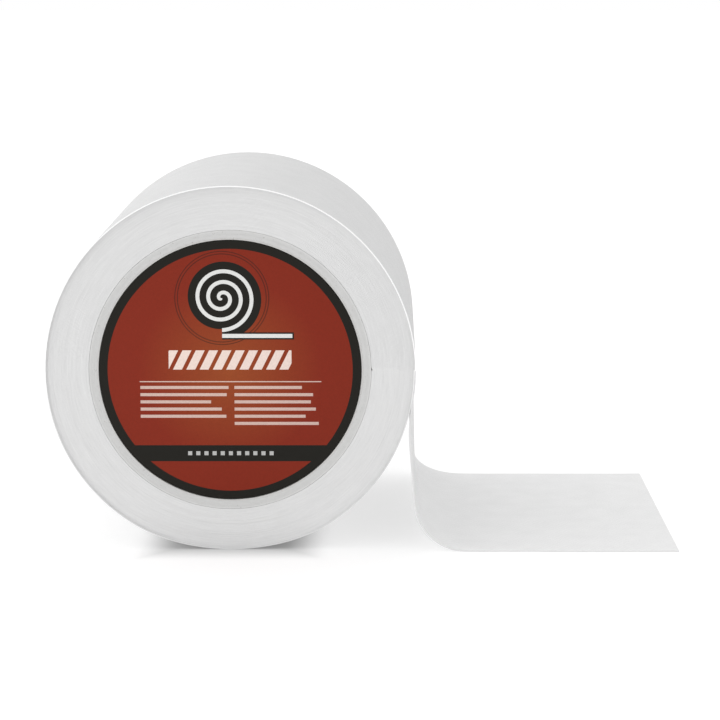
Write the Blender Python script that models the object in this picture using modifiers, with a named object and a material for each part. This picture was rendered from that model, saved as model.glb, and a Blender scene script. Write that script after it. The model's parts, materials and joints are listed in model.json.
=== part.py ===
"""A retail roll of stitch-bonded polyester geotextile on a paperboard core.

The fabric web is wound on the core in one piece. Its outer turn is a layer of its own, which runs on into
the packed turns under it. The free end peels off the right side of the roll, hangs to the ground with a
slight twist and runs out flat. A printed disc on a press-in plug closes the front end of the bore.

The origin is in the middle of the strip that the roll rests on. +X points along the free end of the web,
+Y points away from the printed front along the roll's axis, and +Z points up.
"""

import math

import bpy
from mathutils import Matrix, Vector

MM = 0.001
FULL_TURN = 2 * math.pi

# A piece that rests on its neighbour, or is seated in it, keeps this much clear of it.
SEAT_GAP = 0.3 * MM
CUT_OVERRUN = 2 * MM

# The fabric web. Its outer turn is wound as a separate layer, a little apart, over the packed turns.
WEB_WIDTH = 152.4 * MM
WEB_THICKNESS = 0.45 * MM
LAYER_GAP = 0.5 * MM
WOUND_TURNS = 1
PACKED_THICKNESS = 14.7 * MM
STEPS_PER_TURN = 48

# The free end of the web, from the line where it peels off the roll to its cut. Its near edge clings to the
# roll for a few degrees, bends back and stands on a round foot. Its far edge hangs straight down to a lower,
# longer foot.
FOLD_GAP = 0.5 * MM
NEAR_CLING = math.radians(11)
BEND_BACK_RADIUS = 60 * MM
NEAR_LEAN = math.radians(5)
NEAR_FOOT_RADIUS = 20 * MM
FAR_LEAN = math.radians(0.7)
FAR_FOOT_HEIGHT = 10 * MM
FAR_FOOT_REACH = 21 * MM
FOOT_RUN = 3 * MM
FLAT_LENGTH = 78.4 * MM
CUT_SKEW = 2 * MM
BEND_STEP = math.radians(5)
DROP_STEPS = 26
DROP_SPANS = 6

# The paperboard core: a helical liner ply, a thick wall of body plies and a helical face ply.
BORE_RADIUS = 51.5 * MM
LINER_THICKNESS = 0.5 * MM
WALL_THICKNESS = 2.1 * MM
FACE_THICKNESS = 0.5 * MM
SEAM_LEAD = 110 * MM
SEAM_WIDTH = 0.5 * MM
CORE_STEPS = 64

# The strip of double-sided tape that starts the web on the core.
TAPE_WIDTH = 25 * MM
TAPE_LENGTH = 140 * MM
TAPE_THICKNESS = 0.25 * MM

# The press-in plug and the printed disc on its face.
PLUG_WALL = 1.2 * MM
PLUG_DEPTH = 14 * MM
PLUG_CHAMFER = 0.5 * MM
LABEL_THICKNESS = 0.3 * MM

LINER_OUTER = BORE_RADIUS + LINER_THICKNESS
WALL_INNER = LINER_OUTER + SEAT_GAP
WALL_OUTER = WALL_INNER + WALL_THICKNESS
FACE_INNER = WALL_OUTER + SEAT_GAP
CORE_RADIUS = FACE_INNER + FACE_THICKNESS
TAPE_MIDDLE = CORE_RADIUS + SEAT_GAP + TAPE_THICKNESS / 2
LAYER_PITCH = WEB_THICKNESS + LAYER_GAP
PACK_INNER = TAPE_MIDDLE + TAPE_THICKNESS / 2 + SEAT_GAP
ROLL_RADIUS = PACK_INNER + PACKED_THICKNESS + (WOUND_TURNS + 1) * LAYER_PITCH
PEEL_RADIUS = ROLL_RADIUS - WEB_THICKNESS / 2
TURN_STEP = FULL_TURN / STEPS_PER_TURN
FRONT = -WEB_WIDTH / 2


def clear_scene():
    for old in list(bpy.data.objects):
        bpy.data.objects.remove(old)


def new_collection(name):
    made = bpy.data.collections.new(name)
    bpy.context.scene.collection.children.link(made)
    return made


def material(name, colour, roughness):
    made = bpy.data.materials.new(name)
    made.use_nodes = True
    shader = made.node_tree.nodes["Principled BSDF"]
    shader.inputs["Base Color"].default_value = (*colour, 1)
    shader.inputs["Roughness"].default_value = roughness
    shader.inputs["Metallic"].default_value = 0
    made.diffuse_color = (*colour, 1)
    return made


def add(collection, name, data, surface, parent=None):
    made = bpy.data.objects.new(name, data)
    if surface:
        data.materials.append(surface)
    made.parent = parent
    collection.objects.link(made)
    return made


def pivot(collection, name, x, z, parent=None):
    """An empty at (x, z) on an axis that runs along Y. A parent's own place is taken off."""
    made = bpy.data.objects.new(name, None)
    made.empty_display_size = WEB_WIDTH / 2
    made.parent = parent
    made.location = Vector((x, 0, z)) - (parent.matrix_world.translation if parent else Vector())
    collection.objects.link(made)
    bpy.context.view_layer.update()
    return made


def ribbon(collection, name, path, width, thickness, surface, carrier):
    """A strip of sheet of that thickness, whose middle follows a path of (x, z) points about its carrier."""
    line = bpy.data.curves.new(name, "CURVE")
    line.dimensions = "2D"
    line.fill_mode = "NONE"
    line.extrude = width / 2
    spline = line.splines.new("POLY")
    spline.points.add(len(path) - 1)
    centre = carrier.matrix_world.translation
    for point, (x, z) in zip(spline.points, path):
        point.co = (x - centre.x, z - centre.z, 0, 1)
    made = add(collection, name, line, surface, carrier)
    made.rotation_euler = (math.radians(90), 0, 0)
    shell = made.modifiers.new("sheet", "SOLIDIFY")
    shell.thickness = thickness
    shell.offset = 0
    shell.use_even_offset = True
    return made


def turned(collection, name, profile, surface, carrier, closed=True):
    """A profile of (radius, depth) points turned about the roll's axis. Depth runs back from the front."""
    mesh = bpy.data.meshes.new(name)
    edges = [(i, i + 1) for i in range(len(profile) - 1)]
    if closed:
        edges.append((len(profile) - 1, 0))
    mesh.from_pydata([(radius, 0, FRONT + depth) for radius, depth in profile], edges, [])
    made = add(collection, name, mesh, surface, carrier)
    made.rotation_euler = (math.radians(-90), 0, 0)
    turn = made.modifiers.new("turn", "SCREW")
    turn.steps = CORE_STEPS
    turn.render_steps = CORE_STEPS
    turn.use_merge_vertices = True
    turn.merge_threshold = 0.01 * MM
    turn.use_smooth_shade = False
    return made


def tube(collection, name, inner, outer, surface, carrier):
    profile = [(inner, WEB_WIDTH), (outer, WEB_WIDTH), (outer, 0), (inner, 0)]
    return turned(collection, name, profile, surface, carrier)


def cut_helical_seam(cutters, ply, inner, outer, start_angle):
    """Opens the butt seam that a paper strip leaves where its edges meet, as it winds round a core."""
    turns = math.ceil((WEB_WIDTH + 2 * CUT_OVERRUN) / SEAM_LEAD)
    length = turns * SEAM_LEAD
    mesh = bpy.data.meshes.new(ply.name + "_seam")
    ends = [(inner - SEAT_GAP / 2, 0, -length / 2), (outer + SEAT_GAP / 2, 0, -length / 2)]
    mesh.from_pydata(ends, [(0, 1)], [])
    blade = add(cutters, ply.name + "_seam", mesh, None, ply.parent)
    blade.rotation_euler = Matrix.Rotation(math.radians(-90), 3, "X").to_euler()
    blade.rotation_euler.rotate_axis("Z", start_angle)
    sweep = blade.modifiers.new("helix", "SCREW")
    sweep.screw_offset = SEAM_LEAD
    sweep.iterations = turns
    sweep.steps = CORE_STEPS
    sweep.render_steps = CORE_STEPS
    width = blade.modifiers.new("width", "SOLIDIFY")
    width.thickness = SEAM_WIDTH
    width.offset = 0
    blade.hide_render = True
    blade.display_type = "WIRE"
    cut = ply.modifiers.new("seam", "BOOLEAN")
    cut.operation = "DIFFERENCE"
    cut.object = blade


def face_radius(angle, depth):
    """The radius of a face that lies that deep under the web's outer face, at an angle wound in from the peel.

    The roll's weight flattens it where it rests, the most at its surface and not at all at the core.
    """
    radius = ROLL_RADIUS - depth - LAYER_PITCH * angle / FULL_TURN
    off_bottom = math.remainder(angle + FULL_TURN / 4, FULL_TURN)
    pressed_share = (radius - PACK_INNER) / (ROLL_RADIUS - PACK_INNER)
    flattened_share = min(1, math.cos(TURN_STEP) / max(math.cos(off_bottom), math.cos(TURN_STEP)))
    return radius * (1 - pressed_share * (1 - flattened_share))


def rest_height():
    """The height of the roll's axis, with the outer face of the web on the ground."""
    bottom = FULL_TURN * 3 / 4
    return min(face_radius(bottom + k * TURN_STEP, 0) * math.cos(k * TURN_STEP) for k in (-1, 0, 1))


AXIS_HEIGHT = rest_height()


def wound_face(turns, depth):
    """A face of the wound web, from the peel in. Its points keep to whole steps, so the turns line up."""
    angles = [FOLD_GAP / PEEL_RADIUS / 2] + [k * TURN_STEP for k in range(1, turns * STEPS_PER_TURN + 1)]
    path = []
    for angle in angles:
        radius = face_radius(angle, depth)
        path.append((radius * math.cos(angle), max(AXIS_HEIGHT + radius * math.sin(angle), 0)))
    return path


def least_layer_gap(outer_face, inner_face):
    """The narrowest gap between a turn of the web and the next one in, measured on their faces' points."""
    least = math.inf
    for i, point in enumerate(inner_face):
        for j in range(i + STEPS_PER_TURN - 2, min(i + STEPS_PER_TURN + 2, len(outer_face) - 1)):
            start = Vector(outer_face[j])
            along = Vector(outer_face[j + 1]) - start
            share = max(0, min(1, (Vector(point) - start).dot(along) / along.length_squared))
            least = min(least, (Vector(point) - start - share * along).length)
    return least


def bend(path, radius, lean_from, lean_to):
    """Carries a path on round an arc, from one lean out of straight down to another, both towards +X."""
    x, z = path[-1]
    count = max(2, math.ceil(abs(lean_to - lean_from) / BEND_STEP))
    for i in range(1, count + 1):
        lean = lean_from + (lean_to - lean_from) * i / count
        out = radius * (math.cos(lean_from) - math.cos(lean))
        down = radius * (math.sin(lean) - math.sin(lean_from))
        path.append((x + out, z - down))


def drop_edge(cling, lean, foot_height, foot_reach):
    """One edge of the hanging web: it clings to the roll, bends back to a lean, hangs, and turns out below.

    The foot is a quarter of an ellipse, less the part that the lean takes off its top.
    """
    peel = FOLD_GAP / PEEL_RADIUS / 2
    path = [(PEEL_RADIUS * math.cos(peel), AXIS_HEIGHT - PEEL_RADIUS * math.sin(peel))]
    bend(path, -PEEL_RADIUS, -peel, -cling)
    bend(path, BEND_BACK_RADIUS, -cling, lean)
    foot_top = foot_height * (1 - math.sin(lean)) + WEB_THICKNESS / 2
    x, z = path[-1]
    hang = max(z - foot_top, WEB_THICKNESS)
    foot = [(0, z - hang)]
    bend(foot, foot_height, lean, math.radians(90))
    foot_start = x + hang * math.tan(lean)
    return path + [(foot_start + out * foot_reach / foot_height, height) for out, height in foot]


def evenly_spaced(path, count):
    """The same path with its points at equal distances along it."""
    lengths = [0]
    for start, end in zip(path, path[1:]):
        lengths.append(lengths[-1] + math.dist(start, end))
    spaced = []
    leg = 0
    for i in range(count + 1):
        reach = lengths[-1] * i / count
        while leg < len(path) - 2 and lengths[leg + 1] < reach:
            leg += 1
        share = (reach - lengths[leg]) / (lengths[leg + 1] - lengths[leg])
        (x0, z0), (x1, z1) = path[leg], path[leg + 1]
        spaced.append((x0 + (x1 - x0) * share, z0 + (z1 - z0) * share))
    return spaced


def drop_sheet(collection, near, far, surface, carrier):
    """The hanging web: a surface between its two edges, which don't hang alike, given the web's thickness."""
    centre = carrier.matrix_world.translation
    points = []
    for (near_x, near_z), (far_x, far_z) in zip(near, far):
        for i in range(DROP_SPANS + 1):
            share = i / DROP_SPANS
            x = near_x + (far_x - near_x) * share - centre.x
            z = near_z + (far_z - near_z) * share - centre.z
            points.append((x, FRONT + WEB_WIDTH * share, z))
    row = DROP_SPANS + 1
    corners = [r * row + i for r in range(DROP_STEPS) for i in range(DROP_SPANS)]
    mesh = bpy.data.meshes.new("tail_drop")
    mesh.from_pydata(points, [], [(c, c + row, c + row + 1, c + 1) for c in corners])
    made = add(collection, "tail_drop", mesh, surface, carrier)
    shell = made.modifiers.new("sheet", "SOLIDIFY")
    shell.thickness = WEB_THICKNESS
    shell.offset = 0
    shell.use_even_offset = True
    return made


def outline_spline(outline, points):
    spline = outline.splines.new("POLY")
    spline.points.add(len(points) - 1)
    for point, (x, y) in zip(spline.points, points):
        point.co = (x, y, 0, 1)
    spline.use_cyclic_u = True


def flat_outline(name, depth):
    """An empty flat outline, which is filled and given that depth."""
    outline = bpy.data.curves.new(name, "CURVE")
    outline.dimensions = "2D"
    outline.fill_mode = "BOTH"
    outline.extrude = depth / 2
    return outline


def wound_section(collection, outer_face, inner_face, surface, carrier):
    """The wound web seen end on: its outer face down to the packed turns, its inner face back, and a hole."""
    section = flat_outline("wound_web", WEB_WIDTH)
    outline_spline(section, [(x, z - AXIS_HEIGHT) for x, z in outer_face + inner_face[::-1]])
    steps = [i * TURN_STEP for i in range(STEPS_PER_TURN)]
    outline_spline(section, [(PACK_INNER * math.cos(a), PACK_INNER * math.sin(a)) for a in steps])
    made = add(collection, "wound_web", section, surface, carrier)
    made.rotation_euler = (math.radians(90), 0, 0)
    return made


def tail_outline(collection, start_x, surface, carrier):
    """The flat stretch of the web, with its end cut a little out of square."""
    outline = flat_outline("tail_flat", WEB_THICKNESS)
    near_end, far_end = start_x + FLAT_LENGTH, start_x + FLAT_LENGTH - CUT_SKEW
    corners = [(start_x, FRONT), (near_end, FRONT), (far_end, -FRONT), (start_x, -FRONT)]
    outline_spline(outline, [(x - carrier.matrix_world.translation.x, y) for x, y in corners])
    return add(collection, "tail_flat", outline, surface, carrier)


def arc_path(radius, start, end):
    count = max(2, round((end - start) / TURN_STEP))
    angles = [start + (end - start) * i / count for i in range(count + 1)]
    return [(radius * math.cos(a), AXIS_HEIGHT + radius * math.sin(a)) for a in angles]


def make_core(parts, cutters, axis):
    board = material("core_board", (0.52, 0.51, 0.48), 0.9)
    paper = material("core_paper", (0.62, 0.62, 0.60), 0.85)
    liner = tube(parts, "core_liner_ply", BORE_RADIUS, LINER_OUTER, paper, axis)
    cut_helical_seam(cutters, liner, BORE_RADIUS, LINER_OUTER, 0)
    tube(parts, "core_wall", WALL_INNER, WALL_OUTER, board, axis)
    face = tube(parts, "core_face_ply", FACE_INNER, CORE_RADIUS, paper, axis)
    cut_helical_seam(cutters, face, FACE_INNER, CORE_RADIUS, FULL_TURN / 2)


def make_plug(parts, axis):
    card = material("plug_card", (0.60, 0.58, 0.54), 0.8)
    print_red = material("label_print", (0.24, 0.033, 0.02), 0.45)
    outer = BORE_RADIUS - SEAT_GAP
    inner = outer - PLUG_WALL
    face = LABEL_THICKNESS + SEAT_GAP
    profile = [
        (0, face + PLUG_WALL),
        (inner, face + PLUG_WALL),
        (inner, face + PLUG_DEPTH),
        (outer - PLUG_CHAMFER, face + PLUG_DEPTH),
        (outer, face + PLUG_DEPTH - PLUG_CHAMFER),
        (outer, face),
        (0, face),
    ]
    turned(parts, "core_plug", profile, card, axis, closed=False)
    disc = [(0, LABEL_THICKNESS), (outer, LABEL_THICKNESS), (outer, 0), (0, 0)]
    turned(parts, "label_disc", disc, print_red, axis, closed=False)


def make_web(parts, axis):
    fabric = material("geotextile", (0.74, 0.74, 0.74), 0.8)
    adhesive = material("start_tape", (0.70, 0.66, 0.50), 0.6)
    outer_face = wound_face(WOUND_TURNS + 1, 0)
    inner_face = wound_face(WOUND_TURNS, WEB_THICKNESS)
    print(f"least gap between turns of the web: {least_layer_gap(outer_face, inner_face) / MM:.3f} mm")
    wound_section(parts, outer_face, inner_face, fabric, axis)
    tape_path = arc_path(TAPE_MIDDLE, 0, TAPE_WIDTH / TAPE_MIDDLE)
    ribbon(parts, "start_tape", tape_path, TAPE_LENGTH, TAPE_THICKNESS, adhesive, axis)
    near = drop_edge(NEAR_CLING, NEAR_LEAN, NEAR_FOOT_RADIUS, NEAR_FOOT_RADIUS)
    far = drop_edge(0, FAR_LEAN, FAR_FOOT_HEIGHT, FAR_FOOT_REACH)
    foot_end = max(near[-1][0], far[-1][0]) + FOOT_RUN
    for edge in (near, far):
        edge.append((foot_end, edge[-1][1]))
    swing = pivot(parts, "tail_swing_axis", PEEL_RADIUS, AXIS_HEIGHT)
    drop_sheet(parts, evenly_spaced(near, DROP_STEPS), evenly_spaced(far, DROP_STEPS), fabric, swing)
    fold_x = foot_end + FOLD_GAP / 2
    lift = pivot(parts, "tail_lift_axis", fold_x, WEB_THICKNESS / 2, swing)
    tail_outline(parts, fold_x + FOLD_GAP / 2, fabric, lift)
    print(f"axis height {AXIS_HEIGHT:.6f}, swing axis x {PEEL_RADIUS:.6f}, lift axis x {fold_x:.6f}")


def main():
    clear_scene()
    parts = new_collection("geotextile_roll")
    cutters = new_collection("cutters")
    axis = pivot(parts, "roll_axis", 0, AXIS_HEIGHT)
    make_core(parts, cutters, axis)
    make_plug(parts, axis)
    make_web(parts, axis)


main()
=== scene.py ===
"""The looks of a retail roll of white stitch-bonded geotextile on a paperboard core.

The model's solids are the frame. The web's solids give way to the real web: one strip 0.43 mm thick, wound in
38 tight turns, that peels off the roll, hangs to the ground and lies flat. The core's solids give way to its
helical paper plies, and the plug and the printed disc to finer ones. Lengths are in metres.
"""

import json
import math

import bmesh
import bpy
from mathutils import Matrix, Vector, noise


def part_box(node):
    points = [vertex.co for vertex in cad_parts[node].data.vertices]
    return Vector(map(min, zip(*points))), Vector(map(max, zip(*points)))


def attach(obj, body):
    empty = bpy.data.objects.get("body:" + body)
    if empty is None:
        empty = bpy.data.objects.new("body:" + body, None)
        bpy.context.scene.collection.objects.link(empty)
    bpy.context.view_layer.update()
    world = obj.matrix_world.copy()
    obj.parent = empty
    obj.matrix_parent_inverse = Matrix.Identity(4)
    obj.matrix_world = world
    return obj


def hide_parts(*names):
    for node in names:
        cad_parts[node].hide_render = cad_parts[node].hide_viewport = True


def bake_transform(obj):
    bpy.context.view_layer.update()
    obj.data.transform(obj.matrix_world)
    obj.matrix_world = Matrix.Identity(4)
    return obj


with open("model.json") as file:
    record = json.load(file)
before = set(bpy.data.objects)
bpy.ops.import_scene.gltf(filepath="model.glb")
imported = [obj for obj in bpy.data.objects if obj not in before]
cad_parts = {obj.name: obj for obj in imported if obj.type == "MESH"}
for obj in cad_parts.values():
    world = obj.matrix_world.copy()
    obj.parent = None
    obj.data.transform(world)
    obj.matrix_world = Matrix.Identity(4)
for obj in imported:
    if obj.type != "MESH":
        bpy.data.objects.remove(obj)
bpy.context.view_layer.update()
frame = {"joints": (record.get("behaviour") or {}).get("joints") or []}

MM = 0.001
FULL_TURN = 2 * math.pi
RIGHT_ANGLE = math.pi / 2

# Places that the frame gives: the roll's axis, its ends, the web's peel line, and the fold at its foot.
JOINTS = {joint["name"]: joint for joint in frame["joints"]}
PEEL_RADIUS, _, AXIS_HEIGHT = JOINTS["tail_swing"]["pos_m"]
FOLD_X = JOINTS["tail_lift"]["pos_m"][0]
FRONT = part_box("core_wall")[0].y
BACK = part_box("core_wall")[1].y
CORE_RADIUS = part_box("core_face_ply")[1].x
LINER_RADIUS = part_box("core_liner_ply")[1].x
PLUG_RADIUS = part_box("core_plug")[1].x
PLUG_FRONT, PLUG_BACK = (corner.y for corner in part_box("core_plug"))
LABEL_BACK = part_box("label_disc")[1].y
CUT_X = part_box("tail_flat")[1].x
AXIS = Vector((0, 0, AXIS_HEIGHT))

# The web, as it is wound. Its first turns on the core step up over its inner end, and its last turns spiral.
# A step up takes one winding step, less the steeper share of it. The turns are pressed where the roll rests,
# as far round as the pressed reach.
WEB_WIDTH = BACK - FRONT
WEB_THICKNESS = 0.43 * MM
EDGE_BULGE = 0.05 * MM
TURNS = 38
WIND_STEPS = 120
START_CLEARANCE = 0.08 * MM
STEP_SHARE = 1 / WIND_STEPS
STEEPER_SHARE = 0.6
STEP_FADE_TURNS = 34.0
INNER_RADIUS = CORE_RADIUS + START_CLEARANCE + WEB_THICKNESS / 2
LAYER_PITCH = (PEEL_RADIUS - INNER_RADIUS) / TURNS
BOTTOM_RADIUS = PEEL_RADIUS - LAYER_PITCH * 3 / 4 + WEB_THICKNESS / 2
PRESSED_SHARE = 1 - AXIS_HEIGHT / BOTTOM_RADIUS
PRESSED_REACH = math.radians(34)

# How far the web strays to the front: its last turns stand proud, and its free end lies a little askew.
STRAY_AT_CUT = 6 * MM
STRAY_AT_PEEL = 1.2 * MM
STRAY_SETTLED_SHARE = 0.4
STRAY_TURNS = 2.2
LAYER_STRAY = 0.1 * MM
WANDER_LENGTH = 430 * MM
RIM_TURNS = 1.0
PATH_VALUES = ("along", "stray", "turns_in")

# The free end, hung as the model's solids are. It runs on round the roll for a few steps past the peel line.
NEAR_CLING = math.radians(11)
BEND_BACK_RADIUS = 60 * MM
NEAR_LEAN = math.radians(5)
NEAR_FOOT_RADIUS = 20 * MM
FAR_LEAN = math.radians(0.7)
FAR_FOOT_HEIGHT = 10 * MM
FAR_FOOT_REACH = 21 * MM
CUT_SKEW = 2 * MM
ROW_STEP = 1.2 * MM
WEB_SPANS = 24
OVERLAP_STEPS = 3
SEAM_SHARE = 0.45
GROUND_WAVE = 0.25 * MM
GROUND_WAVE_LENGTH = 33 * MM
GROUND_WAVES_ACROSS = 4
ON_GROUND = 1 * MM

# The web's stitches and fibres. The fibres are some 20 microns thick, so they are drawn as bundles that show.
# The shares say how much each adds to the tone, from the darker colour to the paler one, or to the relief. A
# band is the range of noise that the tone is spread over.
STITCH_ROW = 1.8 * MM
STITCH_LENGTH = 2.2 * MM
STITCH_NARROW = 0.12 * MM
STITCH_WIDE = 0.42 * MM
BUNDLE_SIZE = (1.4 * MM, 0.24 * MM, MM)
BUNDLE_TURNS = (0.5, -0.45, 0.1)
CLOUD_SIZE = (10.5 * MM, 10.5 * MM, MM)
MATTED_BAND = (1.1, 1.9)
BUNDLE_SHARE = 0.45
STITCH_SHARE = 0.35
CLOUD_SHARE = 0.3
BUNDLE_RELIEF_SHARE = 0.5
FABRIC_RELIEF = 0.15 * MM
# Over this length before the peel line, the web's paint fades into the single layer's paler tones, which are
# painted light.
SINGLE_FADE = 30 * MM

# The web's cut edges: long streaks, shorter strokes and tufts along them, and a fuzz of fibre ends.
CUT_STREAK = 71 * MM
CUT_STROKE = 9 * MM
CUT_TUFT = 0.7 * MM
CUT_FUZZ = 0.2 * MM
CUT_RELIEF = 0.05 * MM
STREAK_SHARE = 0.4
STROKE_SHARE = 0.35
TUFT_SHARE = 0.25
NOISE_BAND = (0.3, 0.7)

# The core's paper plies, from the bore out, each a strip wound as a helix, and its fibres and flecks. The
# plies' ends are set back by a few hundredths of a millimetre, in a shuffled order.
PLY_COUNT = 7
LINER_THICKNESS = 0.5 * MM
BORE_RADIUS = LINER_RADIUS - LINER_THICKNESS
PLY_PITCH = (CORE_RADIUS - BORE_RADIUS) / PLY_COUNT
PLY_GLUE = 0.012 * MM
PLY_LEAD = 110 * MM
PLY_SEAM = 0.4 * MM
PLY_STAGGER = 2.4
PLY_SET_BACK = 0.015 * MM
PLY_SHUFFLE = 5
PLY_STEPS = 144
PLY_ROWS = 24
PAPER_LAY = math.atan2(PLY_LEAD, FULL_TURN * BORE_RADIUS)
PAPER_FIBRE = (3.8 * MM, 1.1 * MM, MM)
PAPER_FLECK = (0.67 * MM, 1.4 * MM, 0.67 * MM)
PAPER_RELIEF = 0.05 * MM
FLECK_LEVEL = 0.73
FLECK_COVER_SHARE = 0.6

# The plug, the disc on it, and the tape under the web's inner end.
PLUG_WALL = 1.2 * MM
PLUG_FILLET = 1.5 * MM
PLUG_FLUTES = 72
PLUG_FLUTE_DEPTH = 0.12 * MM
FLUTE_STEPS = 4
FILLET_STEPS = 5
DISC_ROUNDING = 0.06 * MM
DISC_STEPS = 192
TAPE_WIDTH = 25 * MM
TAPE_LENGTH = 140 * MM
TAPE_THICKNESS = 0.05 * MM
TAPE_GLUE = 0.02 * MM
TAPE_STEPS = 16
CARD_GRAIN = 0.67 * MM
TAPE_GRAIN = 1.7 * MM
GRAIN_RELIEF = 0.04 * MM
WELD = 0.002 * MM

# What is printed on the disc, measured from the roll's axis. A box is its left, right, lower and upper side.
# A half line is half as wide as its line. A cover share says how densely a thing is printed. A column of
# short lines is its left side, its longest line, how many lines it has, and its seed.
GLOW_REACH = 36 * MM
COIL_X = -3 * MM
COIL_Z = 28.6 * MM
COIL_PITCH = 4.2 * MM
COIL_HALF_LINE = 0.75 * MM
COIL_RADIUS = 15.3 * MM
COIL_START_SHARE = 0.25
PLATE_RADIUS = 16.4 * MM
HALO_RADII = (17.3 * MM, 18.3 * MM)
HALO_HALF_LINE = 0.2 * MM
HALO_COVER_SHARE = 0.6
COIL_END_PLATE = (-3 * MM, 25 * MM, 12.3 * MM, 15.1 * MM)
COIL_END_BOX = (-3 * MM, 24.4 * MM, 12.9 * MM, 14.5 * MM)
BLOCK_PITCH = 5.2 * MM
BLOCK_WIDTH = 3.5 * MM
BLOCK_SLANT = -0.5
BLOCKS_BOX = (-24 * MM, 24 * MM, 0.4 * MM, 8 * MM)
RULE_BOX = (-35.4 * MM, 35.6 * MM, -4.6 * MM, -4.2 * MM)
RULE_COVER_SHARE = 0.7
LINE_PITCH = 2.86 * MM
LINE_HEIGHT = 1.2 * MM
LINE_COVER_SHARE = 0.64
SHORTEST_LINE_SHARE = 0.72
COLUMNS_TOP = -6.1 * MM
LINE_COLUMNS = ((-35.2 * MM, 34.5 * MM, 5, 3.3), (1.6 * MM, 33.6 * MM, 6, 8.7))
BAND_LOW = -36.1 * MM
BAND_HIGH = -29.7 * MM
SQUARE_PITCH = 3.2 * MM
SQUARES_BOX = (-18.4 * MM, 18.4 * MM, -33.7 * MM, -32.1 * MM)
SQUARES_COVER_SHARE = 0.65
DARK_RIM_RADIUS = 47.9 * MM
SPECKLE_SIZE = 0.55 * MM
SPECKLE_SHARE = 0.12
COAT_GRAIN = 1.1 * MM
COAT_RELIEF = 0.02 * MM

# The view, fitted to the photograph.
IMAGE_SIZE = 720
SENSOR = 36
FOCAL_PIXELS = 2770
PRINCIPAL_X = 389.4
CAMERA_PLACE = Vector((62.25, -1144.5, 248)) * MM
CAMERA_PITCH = 0.1601
CAMERA_REACH = 30

# The floor's glow. Near the roll it is dimmed into a painted contact shadow: it is dim where the roll bears
# on it, and comes back over those distances from the line of contact and from the roll's ends. The white
# surround is brighter to the left by that share of its strength. A softbox is its name, width, watts and
# place.
FLOOR_WIDTH = 12
FLOOR_DROP = 0.02 * MM
FLOOR_GLOW = 0.58
PAINTED_SHADOW_GLOW = 0.15
PAINTED_SHADOW_ACROSS = (20 * MM, 40 * MM)
PAINTED_SHADOW_PAST_END = (-3 * MM, 22 * MM)
AMBIENT = 1.07
AMBIENT_SIDE_SHARE = 0.24
SOFTBOXES = (
    ("overhead", 1.4, 1, (0, 0, 1.8)),
    ("front", 1.0, 1.5, (0, -2, 0.4)),
    ("left", 1.0, 1.5, (-1.5, -0.2, 0.5)),
)

# The kinds of node that the trees below use most, and the settings that store a vector as a UV map.
MATH = "ShaderNodeMath"
RANGE = "ShaderNodeMapRange"
MIX = "ShaderNodeMix"
NOISE = "ShaderNodeTexNoise"
MAPPING = "ShaderNodeMapping"
SPLIT = "ShaderNodeSeparateXYZ"
JOIN = "ShaderNodeCombineXYZ"
PRINCIPLED = "ShaderNodeBsdfPrincipled"
AS_UV_MAP = {"data_type": "FLOAT2", "domain": "CORNER"}

# A web piece's materials, in their order: its faces, its cut edges, and its edges on the outermost turn.
ON_FACE, ON_EDGE, ON_RIM = range(3)


def srgb(code):
    """A linear colour from a hex code."""
    values = [int(code[i:i + 2], 16) / 255 for i in (0, 2, 4)]
    return [v / 12.92 if v <= 0.04045 else ((v + 0.055) / 1.055) ** 2.4 for v in values] + [1]


def smooth(share):
    """A share from 0 to 1, eased in and out."""
    share = max(0, min(1, share))
    return share * share * (3 - 2 * share)


def node_adder(tree):
    """The function that adds a node to the tree and gives back one of its outputs, or a slice of them.

    Values go to its sockets in order, or by a name that starts with a capital. Other names are settings.
    """
    def add(kind, *values, out=0, **named):
        made = tree.nodes.new(kind)
        for name, value in named.items():
            if name.islower():
                setattr(made, name, value)
        fed = list(zip([socket for socket in made.inputs if socket.enabled], values))
        fed += [(made.inputs[name.replace("_", " ")], named[name]) for name in named if not name.islower()]
        for socket, value in fed:
            if isinstance(value, bpy.types.NodeSocket):
                tree.links.new(value, socket)
            elif value is not None:
                socket.default_value = value
        if isinstance(out, str):
            return made.outputs[out]
        outputs = [socket for socket in made.outputs if socket.enabled]
        return outputs[out] if outputs else None

    return add


def new_material(name):
    """An empty material, and the function that adds its nodes."""
    made = bpy.data.materials.new(name)
    made.use_nodes = True
    made.node_tree.nodes.clear()
    return made, node_adder(made.node_tree)


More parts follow.
